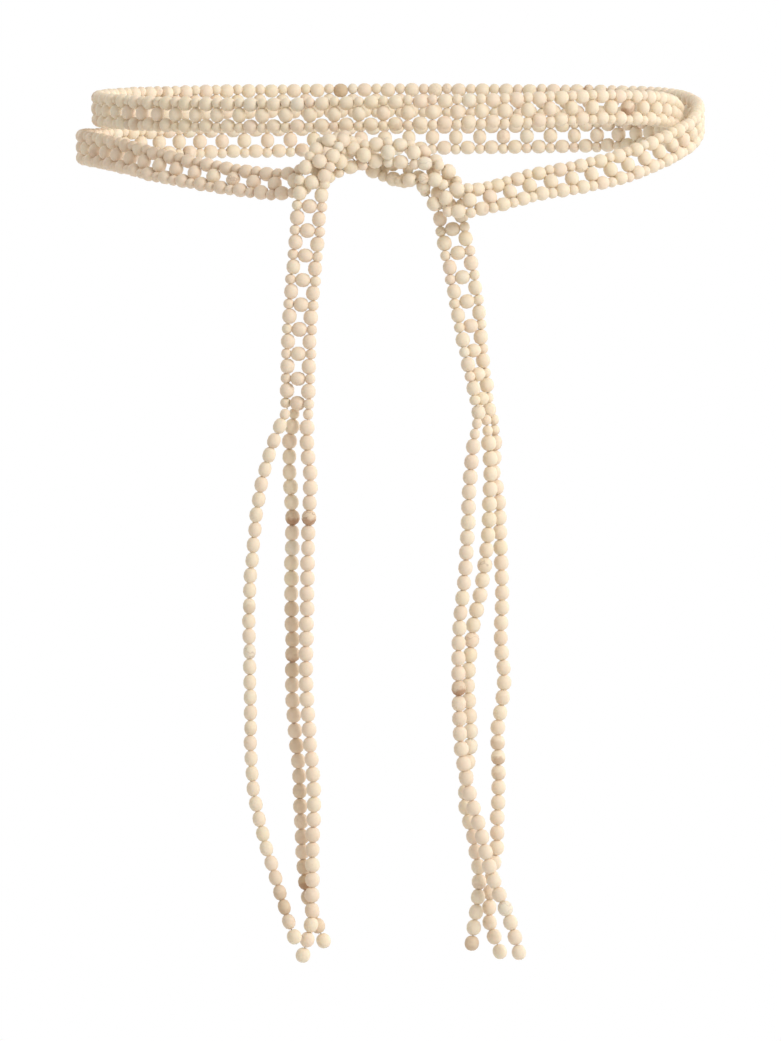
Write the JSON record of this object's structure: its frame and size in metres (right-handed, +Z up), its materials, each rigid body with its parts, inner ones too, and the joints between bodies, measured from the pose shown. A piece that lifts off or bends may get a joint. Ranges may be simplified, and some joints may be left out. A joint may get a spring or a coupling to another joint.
{
  "type": "beaded belt",
  "caption": "Woven belt of small stone beads, wound twice round the waist and half knotted, with two hanging tails that end in strings of beads.",
  "frame": {"origin": "centre of the waist hollow, at the height where the upper and the lower wrap meet at the back", "axes": "+Z up out of the hollow, +X to the wearer's left (the picture's right), -Y to the front where the knot and the tails are"},
  "size_m": [0.2564, 0.2121, 0.3484],
  "materials": {
    "band_stone": "matte, drilled round beads",
    "string_stone": "matte, drilled round beads",
    "end_stone": "matte, drilled round beads"
  },
  "bodies": {
    "root": {"right_front_run": "band_stone", "upper_back_run": "band_stone", "upper_front_run": "band_stone", "lower_back_run": "band_stone", "left_front_run": "band_stone", "outer_right_turn": "band_stone", "upper_left_turn": "band_stone", "inner_right_turn": "band_stone", "lower_left_turn": "band_stone", "knot_over_strand": "band_stone", "knot_under_strand": "band_stone", "left_tail_band": "band_stone", "right_tail_band": "band_stone", "left_string_1": "string_stone", "left_string_2": "string_stone", "left_string_3": "string_stone", "right_string_1": "string_stone", "right_string_2": "string_stone", "right_string_3": "string_stone", "left_end_bead_1": "end_stone", "left_end_bead_2": "end_stone", "left_end_bead_3": "end_stone", "right_end_bead_1": "end_stone", "right_end_bead_2": "end_stone", "right_end_bead_3": "end_stone"}
  },
  "joints": []
}
